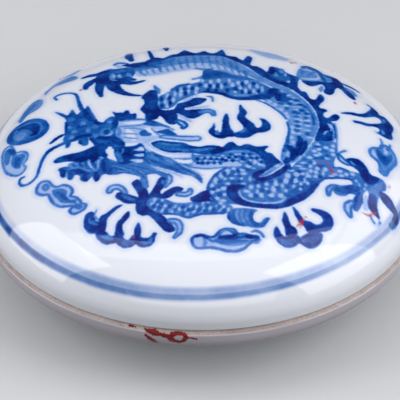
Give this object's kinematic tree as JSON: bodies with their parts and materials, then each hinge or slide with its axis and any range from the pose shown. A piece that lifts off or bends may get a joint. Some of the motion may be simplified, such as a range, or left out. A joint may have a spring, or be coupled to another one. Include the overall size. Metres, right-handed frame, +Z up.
{
  "type": "seal paste case",
  "caption": "Round low porcelain case for seal paste: a domed lid that lifts off a shallow footed base with a raised inner collar, and the paste in its well.",
  "frame": {"origin": "centre of the foot ring on the surface that the case stands on", "axes": "+Z up along the case's axis, through the middle of the lid; -Y faces the viewer of the picture"},
  "size_m": [0.0746, 0.0746, 0.0259],
  "materials": {
    "lid_glaze": "clear gloss glaze over white porcelain, painted underglaze in cobalt blue; bare matt rim",
    "base_glaze": "clear gloss glaze over white porcelain; bare matt rim, collar and foot",
    "cinnabar_paste": "oily satin paste with fibres"
  },
  "bodies": {
    "base": {"base": "base_glaze", "seal_paste": "cinnabar_paste"},
    "lid": {"lid": "lid_glaze"}
  },
  "joints": [
    {"name": "lid_lift", "type": "slide", "parent": "base", "child": "lid", "axis": [0, 0, 1], "range_m": [0, 0.045]}
  ]
}
